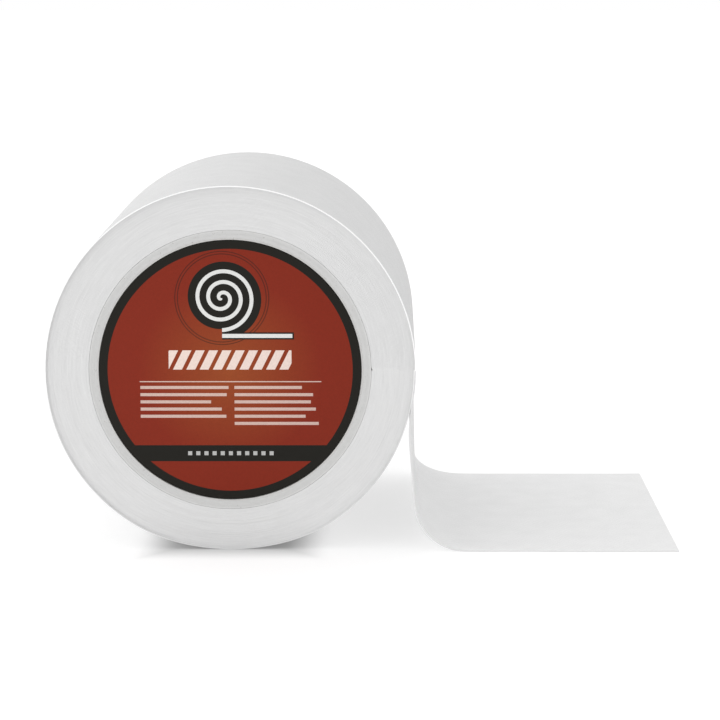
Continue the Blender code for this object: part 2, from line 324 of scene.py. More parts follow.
def geotextile_material(wound_tones, painted_lit_single_tones, peel_along):
    """Stitch-bonded polyester: a mat of white crimped fibres, held by rows of small stitches along the web.

    The fibres scatter light, which gives a dull white with the faintest sheen, and the stitches give fine
    rows. Between its cut and the peel line, which lies peel_along from it, the web is a single layer. There
    it
    is painted paler: painted light that stands for the light coming through it. The pattern follows the web,
    in metres across it and along it.
    """
    made, add = new_material("stitch_bonded_polyester")
    web = add("ShaderNodeUVMap", uv_map="web")
    across, along, _ = add(SPLIT, web, out=slice(3))
    row = add(MATH, add(MATH, across, STITCH_ROW, operation="DIVIDE"), operation="FLOOR")
    from_side = add(MATH, across, STITCH_ROW / 2, operation="ADD")
    off_row = add(MATH, from_side, STITCH_ROW / 2, operation="PINGPONG")
    staggered = add(MATH, row, STITCH_LENGTH / 2, along, operation="MULTIPLY_ADD")
    off_stitch = add(MATH, staggered, STITCH_LENGTH / 2, operation="PINGPONG")
    loop = add(RANGE, off_stitch, 0, STITCH_LENGTH / 2, STITCH_NARROW, STITCH_WIDE)
    off_thread = add(MATH, off_row, loop, operation="DIVIDE", use_clamp=True)
    thread = add(MATH, 1, off_thread, operation="SUBTRACT")
    matted = 0
    for turn in BUNDLE_TURNS:
        lay = add(MAPPING, web, Rotation=(0, 0, turn), Scale=BUNDLE_SIZE, vector_type="TEXTURE")
        bundles = add(NOISE, lay, Scale=1, Detail=3, Roughness=0.7)
        matted = add(MATH, matted, bundles, operation="ADD")
    clouded = add(MAPPING, web, Scale=CLOUD_SIZE, vector_type="TEXTURE")
    clouds = add(NOISE, clouded, Scale=1, Detail=3, Roughness=0.5)
    bundle_tone = add(RANGE, matted, *MATTED_BAND, 0, BUNDLE_SHARE)
    stitch_tone = add(MATH, thread, STITCH_SHARE, bundle_tone, operation="MULTIPLY_ADD")
    tone = add(MATH, clouds, CLOUD_SHARE, stitch_tone, operation="MULTIPLY_ADD", use_clamp=True)
    # Painted light: past the peel line the single layer is painted in paler tones, for the light coming
    # through it.
    wound_share = add(RANGE, along, peel_along - SINGLE_FADE, peel_along)
    wound = add(MIX, tone, *wound_tones, data_type="RGBA")
    single = add(MIX, tone, *painted_lit_single_tones, data_type="RGBA")
    paint = add(MIX, wound_share, single, wound, data_type="RGBA")
    relief = add(MATH, matted, BUNDLE_RELIEF_SHARE, thread, operation="MULTIPLY_ADD")
    raised = add("ShaderNodeBump", Strength=0.9, Distance=FABRIC_RELIEF, Height=relief)
    surface = add(PRINCIPLED, paint, Roughness=0.85, Sheen_Weight=0.12, Sheen_Roughness=0.5, Normal=raised)
    add("ShaderNodeOutputMaterial", surface)
    return made


def cut_edge_material(name, tones, worn=None):
    """Polyester mat cut through by a slitting knife: the blunt ends of its fibres, duller than its faces.

    On the outer turn's edge, a paler colour is mixed in from half the axis's height upwards, fully above the
    axis: a painted highlight, where the light catches that edge.
    """
    made, add = new_material(name)
    place = add("ShaderNodeTexCoord", out="Object")
    web = add("ShaderNodeUVMap", uv_map="web")
    tone = 0
    for length, share in ((CUT_STREAK, STREAK_SHARE), (CUT_STROKE, STROKE_SHARE)):
        drawn_out = add(MAPPING, web, Scale=(1, length, 1), vector_type="TEXTURE")
        streaks = add(NOISE, drawn_out, Scale=1, Detail=2)
        tone = add(MATH, add(RANGE, streaks, *NOISE_BAND, 0, share), tone, operation="ADD")
    tufted = add(MAPPING, place, Scale=(CUT_TUFT,) * 3, vector_type="TEXTURE")
    tufts = add(NOISE, tufted, Scale=1, Detail=3)
    tone = add(MATH, tufts, TUFT_SHARE, tone, operation="MULTIPLY_ADD")
    paint = add(MIX, tone, *tones, data_type="RGBA")
    # A painted highlight: the outer turn's edge is painted paler towards the top.
    if worn:
        height = add(SPLIT, place, out=2)
        painted_highlight_share = add(RANGE, height, AXIS_HEIGHT / 2, AXIS_HEIGHT)
        paint = add(MIX, painted_highlight_share, paint, worn, data_type="RGBA")
    fuzzed = add(MAPPING, place, Scale=(CUT_FUZZ,) * 3, vector_type="TEXTURE")
    fuzz = add(NOISE, fuzzed, Scale=1, Detail=2, Roughness=0.7)
    raised = add("ShaderNodeBump", Strength=0.4, Distance=CUT_RELIEF, Height=fuzz)
    add("ShaderNodeOutputMaterial", add(PRINCIPLED, paint, Roughness=0.9, Normal=raised))
    return made


def paper_material(name, tones, fleck):
    """Grey waste paper, wound with glue: matt, with fibres along the strip and a few dark flecks."""
    made, add = new_material(name)
    strip = add("ShaderNodeUVMap", uv_map="strip")
    lay = add(MAPPING, strip, Rotation=(0, 0, PAPER_LAY), Scale=PAPER_FIBRE, vector_type="TEXTURE")
    fibres = add(NOISE, lay, Scale=1, Detail=4, Roughness=0.65)
    place = add("ShaderNodeTexCoord", out="Object")
    spotted = add(MAPPING, place, Scale=PAPER_FLECK, vector_type="TEXTURE")
    spots = add(NOISE, spotted, Scale=1, Detail=1)
    flecks = add(MATH, spots, FLECK_LEVEL, operation="GREATER_THAN")
    fleck_share = add(MATH, flecks, FLECK_COVER_SHARE, operation="MULTIPLY")
    paper = add(MIX, fibres, *tones, data_type="RGBA")
    paint = add(MIX, fleck_share, paper, fleck, data_type="RGBA")
    raised = add("ShaderNodeBump", Strength=0.35, Distance=PAPER_RELIEF, Height=fibres)
    add("ShaderNodeOutputMaterial", add(PRINCIPLED, paint, Roughness=0.92, Normal=raised))
    return made


def grained_material(name, tones, roughness, grain_size):
    """Card or paper tape, pressed or rolled: one soft colour that its pulp makes a little uneven."""
    made, add = new_material(name)
    place = add("ShaderNodeTexCoord", out="Object")
    sized = add(MAPPING, place, Scale=(grain_size,) * 3, vector_type="TEXTURE")
    grain = add(NOISE, sized, Scale=1, Detail=4, Roughness=0.6)
    paint = add(MIX, grain, *tones, data_type="RGBA")
    raised = add("ShaderNodeBump", Strength=0.3, Distance=GRAIN_RELIEF, Height=grain)
    add("ShaderNodeOutputMaterial", add(PRINCIPLED, paint, Roughness=roughness, Normal=raised))
    return made


def label_material():
    """Litho print on card, with a satin face: dark red that glows towards the middle, inside a black rim.

    What is printed on it is plain and generic: a coil with its end drawn out, a row of slanted blocks, a thin
    rule over two columns of short lines, and a dark band with a row of squares.
    """
    made, add = new_material("printed_card")
    red, glow, dark = srgb("822918"), srgb("944723"), srgb("1E1D19")
    pale, silver = srgb("EAD6CC"), srgb("DFDFDD")
    place = add(MAPPING, add("ShaderNodeTexCoord", out="Object"), (0, 0, -AXIS_HEIGHT))
    across, _, up = add(SPLIT, place, out=slice(3))
    radius = add("ShaderNodeVectorMath", add(JOIN, across, 0, up), operation="LENGTH")
    paint = add(MIX, add(RANGE, radius, GLOW_REACH, 0), red, glow, data_type="RGBA")

    def lay(mask, colour, cover=1):
        """Prints a colour over what is there, where the mask is 1."""
        nonlocal paint
        paint = add(MIX, add(MATH, mask, cover, operation="MULTIPLY"), paint, colour, data_type="RGBA")

    def box_mask(left, right, low, high):
        """A mask that is 1 inside a box."""
        beside = add(MATH, across, (left + right) / 2, (right - left) / 2, operation="COMPARE")
        level = add(MATH, up, (low + high) / 2, (high - low) / 2, operation="COMPARE")
        return add(MATH, beside, level, operation="MULTIPLY")

    # The coil, seen end on, over a dark plate, and its drawn-out end.
    from_coil = add(MAPPING, place, (-COIL_X, 0, -COIL_Z))
    x, _, z = add(SPLIT, from_coil, out=slice(3))
    heading = add(MATH, add(MATH, z, x, operation="ARCTAN2"), FULL_TURN, operation="DIVIDE")
    turned_share = add(MATH, add(MATH, heading, COIL_START_SHARE, operation="ADD"), operation="FRACT")
    reach = add("ShaderNodeVectorMath", add(JOIN, x, 0, z), operation="LENGTH")
    wound = add(MATH, turned_share, COIL_PITCH, reach, operation="MULTIPLY_ADD")
    off_line = add(MATH, wound, COIL_PITCH / 2, operation="PINGPONG")
    line = add(MATH, off_line, COIL_HALF_LINE, operation="LESS_THAN")
    for halo in HALO_RADII:
        lay(add(MATH, reach, halo, HALO_HALF_LINE, operation="COMPARE"), dark, HALO_COVER_SHARE)
    lay(add(MATH, wound, PLATE_RADIUS, operation="LESS_THAN"), dark)
    lay(add(MATH, line, add(MATH, wound, COIL_RADIUS, operation="LESS_THAN"), operation="MULTIPLY"), silver)
    lay(box_mask(*COIL_END_PLATE), dark)
    lay(box_mask(*COIL_END_BOX), silver)

    # The slanted blocks.
    slant = add(MATH, up, BLOCK_SLANT, across, operation="MULTIPLY_ADD")
    off_block = add(MATH, slant, BLOCK_PITCH / 2, operation="PINGPONG")
    blocks = add(MATH, off_block, BLOCK_WIDTH / 2, operation="LESS_THAN")
    lay(add(MATH, blocks, box_mask(*BLOCKS_BOX), operation="MULTIPLY"), pale)

    # The rule, and the columns of short lines, which end raggedly.
    lay(box_mask(*RULE_BOX), pale, RULE_COVER_SHARE)
    depth = add(MATH, COLUMNS_TOP, up, operation="SUBTRACT")
    lines_down = add(MATH, depth, LINE_PITCH, operation="DIVIDE")
    line_number = add(MATH, lines_down, operation="FLOOR")
    line_part = add(MATH, lines_down, operation="FRACT")
    inked = add(MATH, line_part, LINE_HEIGHT / LINE_PITCH, operation="LESS_THAN")
    for left, longest, lines, seed in LINE_COLUMNS:
        seeded = add(MATH, line_number, seed, operation="ADD")
        ragged = add("ShaderNodeTexWhiteNoise", seeded, noise_dimensions="1D")
        end = add(RANGE, ragged, 0, 1, left + longest * SHORTEST_LINE_SHARE, left + longest)
        shorter = add(MATH, across, end, operation="LESS_THAN")
        column = box_mask(left, left + longest, COLUMNS_TOP - lines * LINE_PITCH, COLUMNS_TOP)
        line_mask = add(MATH, shorter, inked, operation="MULTIPLY")
        lay(add(MATH, column, line_mask, operation="MULTIPLY"), pale, LINE_COVER_SHARE)

    # The dark band with its row of pale squares, the rim, and the fine speckle of the whole print.
    lay(box_mask(-PLUG_RADIUS, PLUG_RADIUS, BAND_LOW, BAND_HIGH), dark)
    off_square = add(MATH, across, SQUARE_PITCH / 2, operation="PINGPONG")
    squares = add(MATH, off_square, SQUARE_PITCH / 4, operation="LESS_THAN")
    row = box_mask(*SQUARES_BOX)
    lay(add(MATH, squares, row, operation="MULTIPLY"), silver, SQUARES_COVER_SHARE)
    lay(add(MATH, radius, DARK_RIM_RADIUS, operation="GREATER_THAN"), dark)
    speckled = add(MAPPING, place, Scale=(SPECKLE_SIZE,) * 3, vector_type="TEXTURE")
    speckle = add(NOISE, speckled, Scale=1, Detail=3, Roughness=0.6)
    lay(add(RANGE, speckle, *NOISE_BAND, 0, SPECKLE_SHARE), srgb("1E130A"))
    coated = add(MAPPING, place, Scale=(COAT_GRAIN,) * 3, vector_type="TEXTURE")
    coat = add(NOISE, coated, Scale=1, Detail=3)
    raised = add("ShaderNodeBump", Strength=0.25, Distance=COAT_RELIEF, Height=coat)
    surface = add(PRINCIPLED, paint, Roughness=0.5, Specular_IOR_Level=0.12, Normal=raised)
    add("ShaderNodeOutputMaterial", surface)
    return made


def new_tree(name, sizes):
    """An empty geometry tree with a named input for each size, its node adder, and its inputs by name."""
    tree = bpy.data.node_groups.new(name, "GeometryNodeTree")
    tree.interface.new_socket("Geometry", in_out="INPUT", socket_type="NodeSocketGeometry")
    tree.interface.new_socket("Geometry", in_out="OUTPUT", socket_type="NodeSocketGeometry")
    for title, value in sizes.items():
        kind = "NodeSocketInt" if isinstance(value, int) else "NodeSocketFloat"
        tree.interface.new_socket(title, in_out="INPUT", socket_type=kind)
    add = node_adder(tree)
    titles = ["Geometry", *sizes]
    return tree, add, dict(zip(titles, add("NodeGroupInput", out=slice(len(titles)))))


def run_tree(holder, tree, sizes):
    """Puts a geometry tree on an object, with the value of each of its named inputs."""
    modifier = holder.modifiers.new(tree.name, "NODES")
    modifier.node_group = tree
    for socket in tree.interface.items_tree:
        if socket.name in sizes:
            modifier[socket.identifier] = sizes[socket.name]


def new_holder(name, points=(), edges=(), faces=()):
    """An object at the origin that holds a mesh of those points, edges and faces."""
    mesh = bpy.data.meshes.new(name)
    mesh.from_pydata(points, edges, faces)
    made = bpy.data.objects.new(name, mesh)
    bpy.context.scene.collection.objects.link(made)
    return made


def make_plain(holder, place=Vector(), spent=()):
    """Gives a holder the mesh that its modifiers make, moved to its place and with its faces outwards.

    Spent names the attributes that its tree needed and the finished piece doesn't.
    """
    depsgraph = bpy.context.evaluated_depsgraph_get()
    evaluated = holder.evaluated_get(depsgraph)
    mesh = bpy.data.meshes.new_from_object(evaluated, preserve_all_data_layers=True, depsgraph=depsgraph)
    holder.modifiers.clear()
    holder.data = mesh
    mesh.transform(Matrix.Translation(place))
    for title in spent:
        mesh.attributes.remove(mesh.attributes[title])
    shell = bmesh.new()
    shell.from_mesh(mesh)
    bmesh.ops.recalc_face_normals(shell, faces=shell.faces)
    shell.to_mesh(mesh)
    shell.free()


def shade(piece, sharp=math.radians(50)):
    """Shades a piece smooth, except at the edges that bend by more than that angle."""
    piece.data.shade_smooth()
    piece.data.set_sharp_from_angle(angle=sharp)


def winding_tree(sizes, fabric, edge, rim):
    """Winds the web on the core: its section is swept along a spiral path, which strays a little across.

    The path is laid flat, from the overlap at the peel line inwards. The first turns out from the core keep
    their radius and step up over the inner end, and turn by turn that step gives way to a spiral. The point
    below each step lies nearer to it than the others do, so that the step is steep and its notch small. The
    swept web is pressed flat where the roll rests, the most at its surface and not at all at the core, and is
    then turned so that its axis lies level.
    """
    tree, add, size = new_tree("web_winding", sizes)

    # How far round each point of the path lies, in turns in from the peel line and turns out from the core.
    index = add("GeometryNodeInputIndex")
    turns_run = add(MATH, index, size["Steps"], operation="DIVIDE")
    turns_in = add(MATH, turns_run, size["First Turn"], operation="ADD")
    turns_out = add(MATH, size["Turns"], turns_in, operation="SUBTRACT")
    part_turn = add(MATH, turns_out, operation="FRACT")
    step_start = add(MATH, 1, size["Step Share"], operation="SUBTRACT")
    half_step = add(MATH, size["Step Share"], 2, operation="DIVIDE")
    below_step = add(MATH, part_turn, step_start, half_step, operation="COMPARE")
    nearer = add(MATH, size["Step Share"], size["Steeper Share"], operation="MULTIPLY")
    shift = add(MATH, below_step, nearer, operation="MULTIPLY")
    angle = add(MATH, add(MATH, turns_in, shift, operation="SUBTRACT"), FULL_TURN, operation="MULTIPLY")
    sine, cosine = add(MATH, angle, operation="SINE"), add(MATH, angle, operation="COSINE")

    # The radius there, which steps up once a turn near the core and grows evenly further out.
    climbed = add(RANGE, part_turn, step_start, 1, 0, 1)
    stepped = add(MATH, add(MATH, turns_out, operation="FLOOR"), climbed, operation="ADD")
    spiral_share = add(RANGE, turns_out, 0, size["Fade Turns"], 0, 1)
    layers = add(MIX, spiral_share, stepped, turns_out, data_type="FLOAT")
    radius = add(MATH, layers, size["Pitch"], size["Inner Radius"], operation="MULTIPLY_ADD")

    x = add(MATH, radius, cosine, operation="MULTIPLY")
    y = add(MATH, radius, sine, operation="MULTIPLY")
    line = add("GeometryNodeCurvePrimitiveLine")
    path = add("GeometryNodeResampleCurve", line, Count=size["Points"], mode="COUNT")
    path = add("GeometryNodeSetPosition", path, Position=add(JOIN, x, y, 0))

    # How far the web strays across: it wanders a little, and its last turns stand proud to the front.
    length = add("GeometryNodeSplineParameter", out="Length")
    along = add(MATH, length, size["First Along"], operation="ADD")
    wander = add(NOISE, W=along, Scale=1 / WANDER_LENGTH, Detail=3, Roughness=0.6, noise_dimensions="1D")
    loose = add(RANGE, turns_in, 0, 1, 0, size["Layer Stray"], interpolation_type="SMOOTHSTEP")
    standing = add(MATH, size["Peel Stray"], -1, operation="MULTIPLY")
    proud = add(RANGE, turns_in, 0, size["Stray Turns"], standing, 0, interpolation_type="SMOOTHSTEP")
    either_way = add(MATH, wander, 2, -1, operation="MULTIPLY_ADD")
    stray = add(MATH, either_way, loose, proud, operation="MULTIPLY_ADD")
    for title, value in zip(PATH_VALUES, (along, stray, turns_in)):
        path = add("GeometryNodeStoreNamedAttribute", path, Name=title, Value=value)
    known = {title: add("GeometryNodeInputNamedAttribute", title, data_type="FLOAT") for title in PATH_VALUES}
    to_back = add(MATH, known["stray"], -1, operation="MULTIPLY")
    path = add("GeometryNodeSetPosition", path, Offset=add(JOIN, 0, 0, to_back))
    path = add("GeometryNodeSetCurveNormal", path, mode="Z_UP")

    # The section is a hexagon, drawn out: two corners bulge at the cut edges, and four are the faces' ends.
    corner_x, corner_y, _ = add(SPLIT, add("GeometryNodeInputPosition"), out=slice(3))
    side = add(MATH, corner_x, operation="SIGN")
    half_width = add(MATH, size["Width"], 2, operation="DIVIDE")
    less_bulge = add(MATH, half_width, size["Bulge"], operation="SUBTRACT")
    bulge = add(MATH, corner_x, add(MATH, size["Bulge"], 2, operation="MULTIPLY"), operation="MULTIPLY")
    section_y = add(MATH, side, less_bulge, bulge, operation="MULTIPLY_ADD")
    share_out = add(MATH, size["Thickness"], math.sqrt(3), operation="DIVIDE")
    section_x = add(MATH, corner_y, share_out, operation="MULTIPLY")
    hexagon = add("GeometryNodeCurvePrimitiveCircle", Resolution=6, Radius=1, mode="RADIUS")
    section = add("GeometryNodeSetPosition", hexagon, Position=add(JOIN, section_x, section_y, 0))
    swept = add("GeometryNodeCurveToMesh", path, section, Fill_Caps=True)

    # Below, the turns are pressed towards the axis.
    x, y, z = add(SPLIT, add("GeometryNodeInputPosition"), out=slice(3))
    reach = add("ShaderNodeVectorMath", add(JOIN, x, y, 0), operation="LENGTH")
    upward = add(MATH, y, reach, operation="DIVIDE")
    low_share = add(RANGE, upward, size["Pressed From"], -1, 0, 1)
    depth = add(RANGE, reach, size["Core Radius"], size["Bottom Radius"], 0, size["Pressed Share"])
    press = add(MATH, add(MATH, low_share, 2, operation="POWER"), depth, operation="MULTIPLY")
    left = add(MATH, 1, press, operation="SUBTRACT")
    place = add(JOIN, add(MATH, x, left, operation="MULTIPLY"), add(MATH, y, left, operation="MULTIPLY"), z)
    pressed = add("GeometryNodeSetPosition", swept, Position=place)
    stood = add("GeometryNodeTransform", pressed, add(JOIN, 0, 0, size["Axis Height"]), (RIGHT_ANGLE, 0, 0))

    # The web's own coordinates, and its materials.
    _, y, _ = add(SPLIT, add("GeometryNodeInputPosition"), out=slice(3))
    off_middle = add(MATH, y, known["stray"], operation="SUBTRACT")
    across = add(MATH, off_middle, half_width, operation="ADD")
    web = add(JOIN, across, known["along"], 0)
    mapped = add("GeometryNodeStoreNamedAttribute", stood, Name="web", Value=web, **AS_UV_MAP)
    on_edge = add(MATH, add(MATH, off_middle, operation="ABSOLUTE"), half_width, operation="GREATER_THAN")
    on_rim = add(MATH, known["turns_in"], size["Rim Turns"], operation="LESS_THAN")
    real = add("GeometryNodeRealizeInstances", mapped)
    clad = add("GeometryNodeSetMaterial", real, Material=fabric)
    clad = add("GeometryNodeSetMaterial", clad, on_edge, edge)
    clad = add("GeometryNodeSetMaterial", clad, add(MATH, on_edge, on_rim, operation="MULTIPLY"), rim)
    add("NodeGroupOutput", clad)
    return tree


def ply_tree(sizes, paper):
    """Winds one ply of the core: a slit ring of paper, swept along it and twisted by the strip's lead."""
    tree, add, size = new_tree("helical_ply", sizes)

    # The slit ring. Its points run round the outside and then back round the inside.
    index = add("GeometryNodeInputIndex")
    last = add(MATH, add(MATH, size["Steps"], 2, operation="MULTIPLY"), 1, operation="ADD")
    on_inner = add(MATH, index, size["Steps"], operation="GREATER_THAN")
    way_back = add(MATH, last, index, operation="SUBTRACT")
    steps_round = add(MIX, on_inner, index, way_back, data_type="FLOAT")
    share = add(MATH, steps_round, size["Steps"], operation="DIVIDE")
    radius = add(MIX, on_inner, size["Outer Radius"], size["Inner Radius"], data_type="FLOAT")
    half_slit = add(MATH, add(MATH, size["Seam"], 2, operation="DIVIDE"), radius, operation="DIVIDE")
    far_side = add(MATH, FULL_TURN, half_slit, operation="SUBTRACT")
    angle = add(MIX, share, half_slit, far_side, data_type="FLOAT")
    x = add(MATH, radius, add(MATH, angle, operation="COSINE"), operation="MULTIPLY")
    y = add(MATH, radius, add(MATH, angle, operation="SINE"), operation="MULTIPLY")
    count = add(MATH, last, 1, operation="ADD")
    ring = add("GeometryNodeCurvePrimitiveCircle", Resolution=count, mode="RADIUS")
    section = add("GeometryNodeSetPosition", ring, Position=add(JOIN, x, y, 0))
    section = add("GeometryNodeStoreNamedAttribute", section, Name="round", Value=angle)

    # The core's axis, as a path with a tilt that twists the ring.
    ends = [add(JOIN, 0, size[end], size["Axis Height"]) for end in ("Front", "Back")]
    rows = add(MATH, size["Rows"], 1, operation="ADD")
    line = add("GeometryNodeCurvePrimitiveLine", *ends)
    path = add("GeometryNodeResampleCurve", line, Count=rows, mode="COUNT")
    _, y, _ = add(SPLIT, add("GeometryNodeInputPosition"), out=slice(3))
    turns = add(MATH, add(MATH, y, size["Lead"], operation="DIVIDE"), FULL_TURN, operation="MULTIPLY")
    path = add("GeometryNodeSetCurveNormal", path, mode="Z_UP")
    path = add("GeometryNodeSetCurveTilt", path, Tilt=add(MATH, turns, size["Start"], operation="ADD"))
    swept = add("GeometryNodeCurveToMesh", path, section, Fill_Caps=True)

    round_angle = add("GeometryNodeInputNamedAttribute", "round", data_type="FLOAT")
    strip = add(JOIN, add(MATH, round_angle, size["Outer Radius"], operation="MULTIPLY"), y, 0)
    mapped = add("GeometryNodeStoreNamedAttribute", swept, Name="strip", Value=strip, **AS_UV_MAP)
    real = add("GeometryNodeRealizeInstances", mapped)
    add("NodeGroupOutput", add("GeometryNodeSetMaterial", real, Material=paper))
    return tree


def flute_tree(sizes, card):
    """Presses flutes into the plug's skirt, which fade from its rim to its face."""
    tree, add, size = new_tree("plug_flutes", sizes)
    x, y, z = add(SPLIT, add("GeometryNodeInputPosition"), out=slice(3))
    angle = add(MATH, z, x, operation="ARCTAN2")
    wave = add(MATH, add(MATH, angle, size["Flutes"], operation="MULTIPLY"), operation="COSINE")
    hollow = add(RANGE, wave, -1, 1, 0, 1)
    depth = add(RANGE, y, size["Face"], size["Rim"], 0, size["Depth"])
    inwards = add(MATH, add(MATH, hollow, depth, operation="MULTIPLY"), -1, operation="MULTIPLY")
    outward = add("ShaderNodeVectorMath", add(JOIN, x, 0, z), operation="NORMALIZE")
    offset = add("ShaderNodeVectorMath", outward, Scale=inwards, operation="SCALE")
    pressed = add("GeometryNodeSetPosition", size["Geometry"], Offset=offset)
    real = add("GeometryNodeRealizeInstances", pressed)
    add("NodeGroupOutput", add("GeometryNodeSetMaterial", real, Material=card))
    return tree


def stray_out(along, peel_along):
    """How far the free end lies towards the front, at a distance along it from its cut."""
    if along < peel_along:
        drift = smooth((1 - along / peel_along) / (1 - STRAY_SETTLED_SHARE))
        return -STRAY_AT_PEEL - (STRAY_AT_CUT - STRAY_AT_PEEL) * drift
    turns_in = (along - peel_along) / (FULL_TURN * PEEL_RADIUS)
    return -STRAY_AT_PEEL * (1 - smooth(turns_in / STRAY_TURNS))


def bend(path, radius, lean_from, lean_to):
    """Carries a path on round an arc, from one lean out of straight down to another, both towards +X."""
    x, z = path[-1]
    count = max(2, math.ceil(abs(lean_to - lean_from) * abs(radius) / (ROW_STEP / 2)))
    for i in range(1, count + 1):
        lean = lean_from + (lean_to - lean_from) * i / count
        out = radius * (math.cos(lean_from) - math.cos(lean))
        down = radius * (math.sin(lean) - math.sin(lean_from))
        path.append((x + out, z - down))


def drop_edge(cling, lean, foot_height, foot_reach):
    """One edge of the hanging web, from the peel line down and out to where its foot meets the ground."""
    path = [(PEEL_RADIUS, AXIS_HEIGHT)]
    if cling:
        bend(path, -PEEL_RADIUS, 0, -cling)
    bend(path, BEND_BACK_RADIUS, -cling, lean)
    foot_top = foot_height * (1 - math.sin(lean)) + WEB_THICKNESS / 2
    x, z = path[-1]
    foot_start = x + (z - foot_top) * math.tan(lean)
    foot = [(0, foot_top)]
    bend(foot, foot_height, lean, RIGHT_ANGLE)
    path += [(foot_start + out * foot_reach / foot_height, height) for out, height in foot]
    return path + [(FOLD_X, WEB_THICKNESS / 2)]


def at_shares(path, shares):
    """The points of a path at shares of its length, and its length."""
    lengths = [0]
    for start, end in zip(path, path[1:]):
        lengths.append(lengths[-1] + math.dist(start, end))
    leg = 0
    found = []
    for share in shares:
        reach = lengths[-1] * share
        while leg < len(path) - 2 and lengths[leg + 1] < reach:
            leg += 1
        part = (reach - lengths[leg]) / (lengths[leg + 1] - lengths[leg])
        (x0, z0), (x1, z1) = path[leg], path[leg + 1]
        found.append((x0 + (x1 - x0) * part, z0 + (z1 - z0) * part))
    return found, lengths[-1]


def row_across(near, far, shift):
    """The points across the web between a point on its near edge and one on its far edge."""
    row = []
    for i in range(WEB_SPANS + 1):
        share = i / WEB_SPANS
        x = near[0] + (far[0] - near[0]) * share
        z = near[1] + (far[1] - near[1]) * share
        if z < ON_GROUND:
            wave = noise.noise(Vector((x / GROUND_WAVE_LENGTH, share * GROUND_WAVES_ACROSS, 0)))
            z += GROUND_WAVE * max(0, wave)
        row.append(Vector((x, FRONT + WEB_WIDTH * share + shift, z)))
    return row


def tail_rows():
    """The free end's rows from its cut to its overlap on the roll, and the distance of each along the web.

    Also the distance from the cut to the peel line, and the row where the upper piece takes over.
    """
    near_edge = drop_edge(NEAR_CLING, NEAR_LEAN, NEAR_FOOT_RADIUS, NEAR_FOOT_RADIUS)
    far_edge = drop_edge(0, FAR_LEAN, FAR_FOOT_HEIGHT, FAR_FOOT_REACH)
    _, near_length = at_shares(near_edge, [])
    drop_count = round(near_length / ROW_STEP)
    shares = [i / drop_count for i in range(drop_count + 1)]
    near, _ = at_shares(near_edge, shares)
    far, _ = at_shares(far_edge, shares)
    flat_length = CUT_X - FOLD_X
    peel_along = flat_length + near_length
    flat_count = round(flat_length / ROW_STEP)

    # Each row's point on the near edge, its point on the far edge, and its distance from the cut.
    edges = []
    for i in range(flat_count):
        left = 1 - i / flat_count
        x = FOLD_X + flat_length * left
        on_ground = WEB_THICKNESS / 2
        edges.append(((x, on_ground), (x - CUT_SKEW * left, on_ground), flat_length * (1 - left)))
    for near_point, far_point, share in zip(near[::-1], far[::-1], shares[::-1]):
        edges.append((near_point, far_point, peel_along - near_length * share))
    for k in range(1, OVERLAP_STEPS + 1):
        angle = k * FULL_TURN / WIND_STEPS
        radius = PEEL_RADIUS - LAYER_PITCH * k / WIND_STEPS
        point = (radius * math.cos(angle), AXIS_HEIGHT + radius * math.sin(angle))
        edges.append((point, point, peel_along + radius * angle))
    rows = [row_across(front, back, stray_out(along, peel_along)) for front, back, along in edges]
    seam = flat_count + round(drop_count * (1 - SEAM_SHARE))
    return rows, [along for _, _, along in edges], peel_along, seam


def web_piece(name, rows, alongs, materials, rim_from):
    """A length of the web. Each row holds the points across it, front edge first, from the cut inwards.

    Its faces lie half a thickness either side of the rows, and its cut edges bulge a little. Its materials
    are for its faces, its cut edges, and its edges from that distance along it.
    """
    points, faces, places, finishes = [], [], [], []
    width = len(rows[0])
    ring = 2 * width + 2
    last = len(rows) - 1
    on_edge = (width - 1, width, 2 * width, 2 * width + 1)

    # Each row gives a ring of points: the outer face, the back edge, the inner face and the front edge.
    for k, row in enumerate(rows):
        outer, inner = [], []
        for i, point in enumerate(row):
            along = rows[min(k + 1, last)][i] - rows[max(k - 1, 0)][i]
            across = row[min(i + 1, width - 1)] - row[max(i - 1, 0)]
            normal = across.cross(along).normalized() * (WEB_THICKNESS / 2)
            outer.append(point + normal)
            inner.append(point - normal)
        sideways = (row[-1] - row[0]).normalized() * EDGE_BULGE
        points += [*outer, row[-1] + sideways, *inner[::-1], row[0] - sideways]
        reach = [(point - row[0]).length for point in row]
        places += [(r, alongs[k]) for r in (*reach, reach[-1] + EDGE_BULGE, *reach[::-1], -EDGE_BULGE)]

    for k in range(last):
        for i in range(ring):
            j = (i + 1) % ring
            faces.append((k * ring + i, k * ring + j, (k + 1) * ring + j, (k + 1) * ring + i))
            edge_finish = ON_RIM if alongs[k] >= rim_from else ON_EDGE
            finishes.append(edge_finish if i in on_edge else ON_FACE)
    faces += [tuple(reversed(range(ring))), tuple(last * ring + i for i in range(ring))]
    finishes += [ON_EDGE, ON_EDGE]
    made = new_holder(name, points, (), faces)
    for material in materials:
        made.data.materials.append(material)
    made.data.polygons.foreach_set("material_index", finishes)
    layer = made.data.uv_layers.new(name="web")
    for loop in made.data.loops:
        layer.data[loop.index].uv = places[loop.vertex_index]
    shade(made)
    return made


def turned(name, profile, steps):
    """A closed shell: a profile of (radius, y) points that starts and ends on the roll's axis, turned."""
    points = [(radius, y, 0) for radius, y in profile]
    made = new_holder(name, points, [(i, i + 1) for i in range(len(points) - 1)])
    turn = made.modifiers.new("turn", "SCREW")
    turn.axis = "Y"
    turn.steps = steps
    turn.render_steps = steps
    turn.use_merge_vertices = True
    turn.merge_threshold = WELD
    return made


